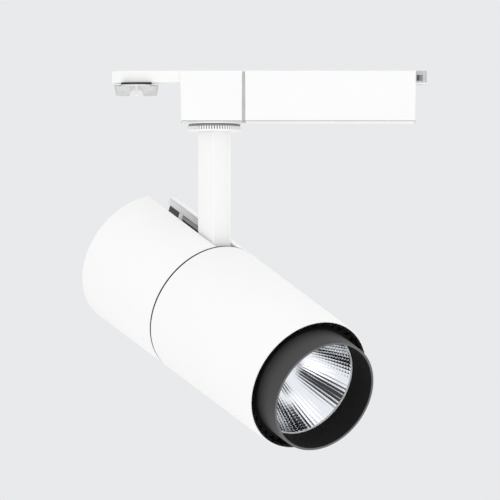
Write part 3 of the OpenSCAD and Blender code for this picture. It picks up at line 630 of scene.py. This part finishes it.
class SPOTLIGHT_OT_optics(bpy.types.Operator):
    """Mirror cup of swelling facets, vented liner and black baffle tube"""
    bl_idname = "spotlight.optics"
    bl_label = "Optics"

    def execute(self, context):
        sizes = context.scene.spotlight_sizes
        self.mirror_cup(sizes)
        self.vent_ring()
        self.baffle_tube(sizes)
        return {"FINISHED"}

    def mirror_cup(self, sizes):
        """Paraboloid cup: radius squared grows evenly along the axis. Each facet swells inwards by the
        parabola 4 s (1 - s) across its flute and by another along its ring, so that the facets stay apart."""
        high = node_box("reflector", LAMP)[1]
        rim_r = node_box("anti_glare_baffle", LAMP)[1][1]
        mouth_r, throat_r, wall = rim_r - sizes.cup_lip, sizes.cup_throat, 1.2 * MM
        across, along = 5, 4
        a = np.arange(sizes.cup_facets * across) / across
        t = np.arange(sizes.cup_rings * along + 1) / along
        x = high[0] - sizes.cup_depth * (1 - t / sizes.cup_rings)
        r = np.sqrt(throat_r ** 2 + (mouth_r ** 2 - throat_r ** 2) * t / sizes.cup_rings)
        over_flute, over_ring = a % 1, t % 1
        swell = (sizes.flute_bulge * 4 * over_flute * (1 - over_flute))[:, None]
        swell = swell + sizes.ring_bulge * 4 * over_ring * (1 - over_ring)
        angles = a * FULL_TURN / sizes.cup_facets
        inside = about_axis(x, r - swell * (r / mouth_r), angles[:, None])
        rim = np.array([[high[0], rim_r], [high[0] - wall, rim_r], [high[0] - wall, mouth_r + wall]])
        back = np.stack([x[::-1], r[::-1] + wall], -1)
        outside = lamp_loops(np.concatenate([rim, back[along:]]), angles)
        surface = Surface().ring(np.concatenate([inside, outside], 1))
        make_piece("mirror_cup", surface, "lamp", "mirror_metal", ["reflector"], crease=5)
        # White ring at the cup's lip: a painted highlight along the lip, in place of light caught on a rounded
        # mirror edge
        bead_in, bead_out, bead_high, bead_edge = mm(0.1, 1.65, 0.8, 0.3)
        highlight_ring = rectangle((high[0], mouth_r - bead_in), (high[0] + bead_high, rim_r - bead_out))
        lamp_ring("cup_lip_highlight", rounded(highlight_ring, bead_edge), "white_plastic")

    def vent_ring(self):
        """Outer tube with notches in its front edge, and a web of cells with a vent in each."""
        low, high = node_box("front_liner", LAMP)
        radius = high[1]
        sleeve_r = node_box("anti_glare_baffle", LAMP)[1][1] + SEAT_GAP
        sleeve_wall, sleeve_back, sleeve_edge = mm(1.2, 1, 0.2)
        web_front, web_back = high[0] - 2.7 * MM, high[0] - 4.7 * MM
        tube, notches, notch_wide, notch_deep = 1.4 * MM, 36, 1.2 * MM, 1.8 * MM
        half = notch_wide / radius / 2
        middles = full_turn(notches)[:, None]
        angles = (middles + np.array([-half, -half, half, half])).ravel()
        fronts = np.tile([0, notch_deep, notch_deep, 0], notches)
        loops = lamp_loops(rectangle((low[0], radius - tube), (high[0], radius)), angles)
        loops[:, 1:3, 0] -= fronts[:, None]
        surface = Surface().ring(loops)
        sleeve = rounded(rectangle((web_back - sleeve_back, sleeve_r),
                                   (web_front + sleeve_wall, sleeve_r + sleeve_wall)), sleeve_edge)
        surface.ring(lamp_loops(sleeve, full_turn(CIRCLE_STEPS)))
        self.web(surface, sleeve_r + sleeve_wall / 2, radius - tube / 2, web_back, web_front)
        make_piece("vent_ring", surface, "lamp", "black_plastic", ["front_liner"])

    def web(self, surface, r_in, r_out, back, front, vents=36, wide=3.4 * MM, high=2.0 * MM):
        """Ring of cells: two angles by four radii each, without the middle face, and walls round the vent."""
        half, middle = wide / (r_in + r_out), (r_in + r_out) / 2
        angles = (full_turn(vents)[:, None] + np.array([-half, half])).ravel()
        radii = np.array([r_in, middle - high / 2, middle + high / 2, r_out])
        face = about_axis(0, radii, angles[:, None])
        both = np.concatenate([face + [front, 0, 0], face + [back, 0, 0]])
        rows, cols = face.shape[:2]
        quads = grid_faces(rows, cols, True, False).reshape(rows, cols - 1, 4)
        solid = np.concatenate([quads[1::2].reshape(-1, 4), quads[0::2, [0, 2]].reshape(-1, 4)])
        loop = np.arange(0, rows, 2)[:, None] * cols + np.array([1, 2, cols + 2, cols + 1])
        ahead, behind = np.roll(loop, -1, 1), rows * cols
        walls = np.stack([loop, ahead, ahead + behind, loop + behind], -1)
        surface.add(both, np.concatenate([solid, solid[:, ::-1] + behind, walls.reshape(-1, 4)]))

    def baffle_tube(self, sizes):
        """Tube with rounded rims. Its lining and its front rim, where the finish paints a highlight, are marked
        for the finish.
        """
        low, high = node_box("anti_glare_baffle", LAMP)
        radius = high[1]
        wall, lined, highlit = mm(1.6, 0.1, 0.2)
        outline = rounded(rectangle((low[0], radius - wall), (high[0], radius)), sizes.baffle_edge)
        loops = lamp_loops(outline, full_turn())
        inside = np.broadcast_to(outline[:, 1] < radius - wall + lined, loops.shape[:2])
        # The front rim's mark carries the painted highlight
        rim = np.broadcast_to(outline[:, 0] > high[0] - highlit, loops.shape[:2])
        make_piece("baffle_tube", Surface().ring(loops), "lamp", "black_coat", ["anti_glare_baffle"],
                   marks={"inside": inside, "rim": rim})


class SPOTLIGHT_OT_arm(bpy.types.Operator):
    """Arm with a round lower end, its cover strip and the toothed flange"""
    bl_idname = "spotlight.arm"
    bl_label = "Arm"

    def execute(self, context):
        sizes = context.scene.spotlight_sizes
        low, high = node_box("arm_channel", ARM)
        strip_low, strip_high = node_box("arm_cover", ARM)
        half = (high[0] - low[0]) / 2
        top = high[2]
        end = np.linspace(math.pi, FULL_TURN, num=25)
        pivot = LAMP[0][2]
        round_end = np.stack([half * np.cos(end), pivot + half * np.sin(end)], -1)
        outline = np.concatenate([round_end, [[half, top], [-half, top]]])
        body = Surface().stack(pillow(outline, low[1], strip_low[1], sizes.arm_edge)[..., ALONG_Y])
        make_piece("arm_body", body, "arm", "white_coat", ["arm_channel"])
        strip_corner, strip_edge = mm(0.3, 0.25)
        strip = rounded(rectangle((-half, strip_low[2]), (half, top)), strip_corner)
        cover = Surface().stack(pillow(strip, strip_low[1], strip_high[1], strip_edge)[..., ALONG_Y])
        make_piece("arm_strip", cover, "arm", "white_coat", ["arm_cover"])
        self.flange()
        return {"FINISHED"}

    def flange(self, teeth=62, wide=1.1 * MM):
        """Disc with square teeth on its upper rim, and a dark band behind them that paints shade into the gaps
        between the teeth.
        """
        low, high = node_box("arm_flange", ARM)
        ring_low, ring_high = node_box("swivel_ring", ARM)
        radius, root, seat, crown = high[0], ring_high[0] + SEAT_GAP, ring_low[2], high[2]
        disc_edge, band_edge, set_back, sunk, in_band = mm(0.15, 0.05, 0.05, 0.1, 0.2)
        surface = Surface().stack(pillow(circle(radius), low[2], seat, disc_edge))
        tooth = np.meshgrid([root - in_band, radius - set_back], [-wide / 2, wide / 2], [seat - sunk, crown],
                            indexing="ij")
        r, across, z = (v.ravel() for v in tooth)
        a = full_turn(teeth)[:, None]
        corners = np.stack(np.broadcast_arrays(r * np.cos(a) - across * np.sin(a),
                                               r * np.sin(a) + across * np.cos(a), z), -1)
        sides = np.array([[0, 1, 3, 2], [4, 6, 7, 5], [0, 4, 5, 1], [2, 3, 7, 6], [0, 2, 6, 4], [1, 5, 7, 3]])
        surface.add(corners, np.arange(teeth)[:, None, None] * len(r) + sides)
        make_piece("toothed_flange", surface, "arm", "white_plastic", ["arm_flange"])
        # The dark band is painted shade in the gaps between the teeth
        band = Surface().stack(pillow(circle(root), seat, crown, band_edge))
        make_piece("tooth_gap_shade", band, "arm", "dark_plastic")


class SPOTLIGHT_OT_adapter(bpy.types.Operator):
    """Swivel box and driver box as drafted trays round the bar"""
    bl_idname = "spotlight.adapter"
    bl_label = "Adapter boxes"

    def execute(self, context):
        sizes = context.scene.spotlight_sizes
        line = 0.36 * MM
        gaskets = Surface()
        # The drafts say how far the left and the right end lean inwards, in millimetres
        for name, node, drafts in (("swivel_case", "swivel_box_cover", (1.1, 0.2)),
                                   ("driver_case", "driver_box_cover", (0.2, 0.6))):
            drafts = np.array(drafts) * MM
            surface = Surface().stack(self.tray(sizes, node, drafts, line))
            make_piece(name, surface, "adapter", "white_plastic", [node])
            self.lid_gasket(gaskets, sizes, node, drafts, line)
        make_piece("lid_gaskets", gaskets, "adapter", "grey_plastic")
        self.skirt()
        self.stub_shoe()
        return {"FINISHED"}

    def skirt(self):
        """White ring under the swivel box, over the gap to the turning ring: an outline carried round."""
        clear, overhang, drop, edge = mm(0.3, 0.25, 1.2, 0.15)
        top, hub = node_box("swivel_box_cover")[0][2], node_box("swivel_bush")[1][0] + clear
        radius = node_box("swivel_ring")[1][0] + overhang
        outline = rounded(rectangle((hub, top - drop), (radius, top)), edge)
        a = full_turn(CIRCLE_STEPS)[:, None]
        r, z = outline[:, 0], outline[:, 1]
        loops = np.stack(np.broadcast_arrays(r * np.cos(a), r * np.sin(a), z), -1)
        make_piece("swivel_skirt", Surface().ring(loops), "adapter", "white_plastic")

    def stub_shoe(self):
        """Thin grey plates on the stub's sides, the first with a window and two blocks for its floor; the dark
        left block paints shade into the window.
        """
        low, high = node_box("adapter_bar")
        stub = node_box("driver_box_cover")[1][0]
        thick, foot, under_top, end_gap = mm(0.35, 0.25, 0.1, 0.05)
        corner, edge, proud, sunk = mm(0.2, 0.1, 0.15, 0.48)
        # Share of the window taken by the dark block of painted shade
        split, gap, painted_shade_share = high[0] - 2.0 * MM, 0.5 * MM, 0.45
        window = np.array([[stub + 0.4 * MM, low[2] + 0.9 * MM], [split - 0.7 * MM, high[2] - 2.7 * MM]])
        left, right = window[:, 0]
        middle = left + painted_shade_share * (right - left)
        framed_plate, end_plate = (
            rounded(rectangle((start, low[2] - foot), (end, high[2] - under_top)), corner)
            for start, end in ((stub + end_gap, split), (split + gap, high[0] - end_gap)))
        surface, shade, insert = Surface(), Surface(), Surface()
        for side in (-1, 1):
            face = side * high[1]
            near, far = sorted((face, face + side * thick))
            self.framed(surface, framed_plate, window, near, far)
            surface.stack(pillow(end_plate, near, far, edge)[..., ALONG_Y])
            back, front = sorted((face - side * sunk, face + side * proud))
            for block, start, end in ((shade, left, middle), (insert, middle, right)):
                block.stack(raised([rectangle((start, back), (end, front))] * 2, window[:, 1]))
        make_piece("stub_shoe", surface, "adapter", "grey_rubber")
        # The left block in the window is dark: painted shade in the left part of the window
        make_piece("stub_painted_shade", shade, "adapter", "dark_plastic")
        make_piece("stub_insert", insert, "adapter", "grey_plastic")

    def framed(self, surface, outline, window, near, far):
        """Plate with a rectangular window: the outline's points are joined to the nearest window edge."""
        inner = np.clip(outline, window[0], window[1])
        surface.ring(raised([outline, outline, inner, inner], [near, far, far, near])[..., ALONG_Y])

    def lid_gasket(self, surface, sizes, node, drafts, line):
        """Band between the tray's wall and its lid: two outlines carried over the height of the line."""
        low, high = node_box(node)
        front_inset, back_inset, lift = mm(0.12, 0.4, 0.03)
        outer, inner = (rounded(rectangle((low[0] + drafts[0] + k, low[1] + k),
                                          (high[0] - drafts[1] - k, high[1] - k)), sizes.box_corner)
                        for k in (front_inset, back_inset))
        foot, top = low[2] + lift, low[2] + line
        surface.ring(raised([outer, outer, inner, inner], [foot, top, top, foot]))

    def tray(self, sizes, node, drafts, line):
        """Rounded rectangles stacked from the recess for the bar, over the rim and down to the floor.

        A gasket's line sets off the lid below, and the two ends lean inwards with depth by their drafts."""
        low, high = node_box(node)
        wall, edge, recess, floor_inset, under_track, least_corner = mm(1.6, 0.1, 0.35, 8, 0.06, 0.25)
        bar_low, top, rim = node_box("adapter_bar")[0][2], -under_track, sizes.box_edge
        rising, falling = 1 - np.cos(QUARTER), 1 - np.sin(QUARTER)
        inset = np.concatenate([[wall, wall], rim * falling, edge * rising, [recess, recess, floor_inset]])
        z = np.concatenate([[bar_low, top], top - rim * rising, low[2] + line + edge * falling,
                            low[2] + np.array([line, 0, 0])])
        lean = drafts[None] * (-z / (high[2] - low[2]))[:, None]
        loops = [rounded(rectangle((low[0] + k + l[0], low[1] + k), (high[0] - k - l[1], high[1] - k)),
                         max(sizes.box_corner - k, least_corner)) for k, l in zip(inset, lean)]
        return raised(loops, z)


class SPOTLIGHT_OT_knob(bpy.types.Operator):
    """Winged knob that turns the lock blade"""
    bl_idname = "spotlight.knob"
    bl_label = "Knob"

    def execute(self, context):
        low, high = node_box("lock_knob", LOCK)
        rise = 0.2 * MM
        top = high[2] + rise
        surface, grey_and_edge_shade = Surface(), []
        self.lens(surface, grey_and_edge_shade, high[1], top)
        self.wings(surface, grey_and_edge_shade, high[0], low[2], top - rise)
        self.rib_and_hub(surface, grey_and_edge_shade, low[2], top)
        make_piece("wing_knob", surface, "lock_lever", "clear_white_plastic", ["lock_knob"],
                   marks={"grey_and_edge_shade": np.concatenate([t.ravel() for t in grey_and_edge_shade])})
        self.blade(top)
        return {"FINISHED"}

    def blade(self, foot):
        """Flat bar with rounded corners and edges."""
        low, high = node_box("lock_blade", LOCK)
        corner, edge, lift, under_top = mm(1.0, 0.12, 0.02, 0.12)
        plate = rounded(rectangle(low[:2], high[:2]), corner)
        surface = Surface().stack(pillow(plate, foot + lift, high[2] - under_top, edge))
        make_piece("blade_plate", surface, "lock_lever", "black_steel", ["lock_blade"])

    def lens(self, surface, grey_and_edge_shade, radius, top):
        """Disc with a thin edge and a bowed underside: its drop is bow (1 - (r / radius)^2)."""
        rings, core = 12, 0.1
        edge_high, bow = mm(0.3, 0.9)
        share = np.concatenate([[1], np.linspace(1, core, rings)])
        edge = np.concatenate([[0], np.full(rings, edge_high)])
        z = top - edge - bow * (1 - share ** 2) * (edge > 0)
        loops = raised(share[:, None, None] * circle(radius, steps=96), z)
        surface.stack(loops)
        grey_and_edge_shade.append(np.zeros(loops.shape[:2]))

    def wings(self, surface, grey_and_edge_shade, span, low, high):
        """Blade along X: its lower edge rises over an elliptical void, its faces are hollows for the fingers.

        Half thickness waist + R - sqrt(R^2 - x^2), less a dent in the middle of each wing. The thickness falls to
        a share at the edges. The marks turn the wings grey for their clear plastic, and greyer still at their
        edges, a painted shade along their outlines."""
        void_r, void_h, waist, hollow_r, dent_deep, edge_wide, lean_in = mm(4.8, 5.0, 1.2, 40, 0.9, 0.5, 1.4)
        edge_share, clear_from, clear = 0.35, 0.6, 0.6
        x = np.linspace(-span, span, num=81)
        foot = low + void_h * np.sqrt(np.maximum(1 - (x / void_r) ** 2, 0))
        half = waist + hollow_r - np.sqrt(hollow_r ** 2 - x ** 2)
        v = np.linspace(0, 1, num=17)
        edge = np.minimum(v, 1 - v) * (high - foot)[:, None] / edge_wide
        soft = np.sqrt(np.clip(edge * (2 - edge), 0, 1) * (edge < 1) + (edge >= 1))
        along = np.clip((np.abs(x) - void_r) / (span - void_r), 0, 1)
        dent = (np.sin(math.pi * along) * dent_deep)[:, None] * np.sin(math.pi * v)
        thickness = (half[:, None] - dent) * (edge_share + (1 - edge_share) * soft)
        z = high - (high - foot)[:, None] * v
        lean = 1 - lean_in / span * (high - z) / (high - low)
        near = np.stack([x[:, None] * lean, -thickness, z], -1)
        far = np.stack([x[:, None] * lean, thickness, z], -1)[:, ::-1]
        surface.stack(np.concatenate([near, far], 1))
        # Grey share: the clear plastic inside the wings, and painted shade at their edges
        inside = np.clip(np.minimum(edge, (span - np.abs(x))[:, None] / edge_wide) - clear_from, 0, 1)
        grey_share = 1 - clear * inside
        grey_and_edge_shade.append(np.concatenate([grey_share, grey_share[:, ::-1]], 1))

    def rib_and_hub(self, surface, grey_and_edge_shade, low, top):
        """Rib across the wings and a round hub round the shaft, both with rounded edges."""
        half_thick, half_long, corner, rib_edge = mm(0.75, 7.3, 0.6, 0.4)
        rib_lift, rib_under_top = mm(0.1, 0.6)
        hub_wall, hub_drop, hub_under_top, hub_edge = mm(0.4, 0.3, 0.5, 0.3)
        shaft_low, shaft_high = node_box("lock_shaft", LOCK)
        rib = rounded(rectangle((-half_thick, -half_long), (half_thick, half_long)), corner)
        hub = circle(shaft_high[0] + hub_wall, steps=48)
        # The rib stays white and the hub takes part of the grey
        for loops, grey_share in ((pillow(rib, low + rib_lift, top - rib_under_top, rib_edge), 0.0),
                             (pillow(hub, shaft_low[2] - hub_drop, top - hub_under_top, hub_edge), 0.4)):
            surface.stack(loops)
            grey_and_edge_shade.append(np.full(loops.shape[:2], grey_share))


class SPOTLIGHT_OT_hardware(bpy.types.Operator):
    """Finishes of the pieces that keep their CAD shape"""
    bl_idname = "spotlight.hardware"
    bl_label = "Hardware finishes"

    def execute(self, context):
        for part in frame["record"]["subparts"]:
            node = frame["nodes"][part["node"]]
            node.data.materials.clear()
            node.data.materials.append(finish_of(part["material_slot"]))
        return {"FINISHED"}


# Dark flags that mirrors show: azimuth to the right of the front, elevation and half width, in degrees
FLAGS = ((80, -16, 22), (-24, -34, 12), (14, -42, 7), (44, -10, 8))
# Half the width of a flag's soft edge, in degrees
FLAG_SOFT = 2
# Soft lamps: name, azimuth and elevation in degrees, and share of the key light's power
LAMPS = (("left", -25, -12, 1.0), ("side", 50, 0, 0.95), ("high", -38, 26, 0.36), ("low", 0, -60, 0.35))


def towards(side, height):
    """Unit vector at an azimuth to the right of the front and an elevation, in degrees."""
    side, height = math.radians(side), math.radians(height)
    return Vector((math.cos(height) * math.sin(side), -math.cos(height) * math.cos(side), math.sin(height)))


class SPOTLIGHT_OT_stage(bpy.types.Operator):
    """Pale floor, soft light and the camera"""
    bl_idname = "spotlight.stage"
    bl_label = "Stage"

    def execute(self, context):
        stage = context.scene.spotlight_stage
        self.floor(stage)
        self.world(context, stage)
        self.lamps(context, stage)
        self.camera(context, stage)
        context.scene.view_settings.view_transform = "Standard"
        return {"FINISHED"}

    def floor(self, stage, radius=1.6, level=-1.9, steps=64):
        """Pale disc far below the object."""
        points = raised([circle(radius, steps)], [level])[0]
        mesh = bpy.data.meshes.new("floor")
        mesh.from_pydata(points.tolist(), [], [list(range(steps))])
        paper = Finish("floor_paper", stage.backdrop, 0.9, spec=0.1)
        paper.tint(paper.noise(3), 0.004)
        mesh.materials.append(paper.material)
        sheet = bpy.data.objects.new("floor", mesh)
        bpy.context.scene.collection.objects.link(sheet)
        sheet.visible_diffuse = sheet.visible_glossy = False

    def world(self, context, stage):
        """Even light. Camera rays see the backdrop's colour, and mirrors a white studio with dark flags."""
        world = bpy.data.worlds.new("studio")
        world.use_nodes = True
        tree = world.node_tree
        path = add_node(tree, "ShaderNodeLightPath", {}).outputs
        direction = add_node(tree, "ShaderNodeTexCoord", {}).outputs["Generated"]
        studio = None
        for side, height, spread in FLAGS:
            near = add_node(tree, "ShaderNodeVectorMath", {0: direction, 1: towards(side, height)},
                            operation="DOT_PRODUCT")
            edges = [math.cos(math.radians(spread + soft)) for soft in (FLAG_SOFT, -FLAG_SOFT)]
            flag = ranged(tree, near.outputs["Value"], *edges, 1.0, stage.flag_light)
            studio = flag if studio is None else joined(tree, "MULTIPLY", studio, flag)
        mirrored = joined(tree, "MAXIMUM", path["Is Glossy Ray"], path["Is Transmission Ray"])
        seen = mixed(tree, mirrored, (stage.world_light,) * 3, studio)
        seen = mixed(tree, path["Is Camera Ray"], seen, stage.backdrop)
        feed(tree, tree.nodes["Background"], {"Color": seen})
        context.scene.world = world

    def lamps(self, context, stage, size=0.65, far=1.8):
        """Large soft lamps in front, all turned to the object's middle."""
        target = Vector((0.02, 0, -0.12))
        for name, side, height, share in LAMPS:
            offset = far * towards(side, height)
            light = bpy.data.lights.new(name, "AREA")
            light.size = size
            light.energy = share * stage.key_light
            lamp = bpy.data.objects.new(name, light)
            lamp.location = target + offset
            lamp.rotation_euler = (-offset).to_track_quat("-Z", "Y").to_euler()
            context.scene.collection.objects.link(lamp)

    def camera(self, context, stage, far=1.2):
        """Parallel view along +Y, pitched a little upwards, centred on the picture's middle."""
        target = Vector((0.0229, 0, -0.1145))
        ahead = Vector((0, math.cos(stage.camera_pitch), math.sin(stage.camera_pitch)))
        data = bpy.data.cameras.new("camera")
        data.type = "ORTHO"
        data.ortho_scale = stage.frame_height
        camera = bpy.data.objects.new("camera", data)
        camera.location = target - far * ahead
        camera.rotation_euler = ahead.to_track_quat("-Z", "Y").to_euler()
        context.scene.collection.objects.link(camera)
        context.scene.camera = camera


class SPOTLIGHT_PT_panel(bpy.types.Panel):
    """Lists the steps that build the spotlight"""
    bl_idname = "SPOTLIGHT_PT_panel"
    bl_label = "Track Spotlight"
    bl_space_type = "VIEW_3D"
    bl_region_type = "UI"
    bl_category = "Spotlight"

    def draw(self, context):
        for step in OPERATORS:
            self.layout.operator(step.bl_idname)


OPERATORS = (SPOTLIGHT_OT_drums, SPOTLIGHT_OT_optics, SPOTLIGHT_OT_arm, SPOTLIGHT_OT_adapter,
             SPOTLIGHT_OT_knob, SPOTLIGHT_OT_hardware, SPOTLIGHT_OT_stage)
GROUPS = {"spotlight_sizes": SpotlightSizes, "spotlight_finish": SpotlightFinish,
          "spotlight_stage": SpotlightStage}


def register():
    for group in GROUPS.values():
        bpy.utils.register_class(group)
    for name, group in GROUPS.items():
        setattr(bpy.types.Scene, name, PointerProperty(type=group))
    for cls in OPERATORS + (SPOTLIGHT_PT_panel,):
        bpy.utils.register_class(cls)


def unregister():
    for cls in (SPOTLIGHT_PT_panel,) + OPERATORS[::-1]:
        bpy.utils.unregister_class(cls)
    for name in GROUPS:
        delattr(bpy.types.Scene, name)
    for group in GROUPS.values():
        bpy.utils.unregister_class(group)


def main():
    register()
    bpy.ops.spotlight.drums()
    bpy.ops.spotlight.optics()
    bpy.ops.spotlight.arm()
    bpy.ops.spotlight.adapter()
    bpy.ops.spotlight.knob()
    bpy.ops.spotlight.hardware()
    bpy.ops.spotlight.stage()
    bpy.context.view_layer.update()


if __name__ == "__main__":
    main()
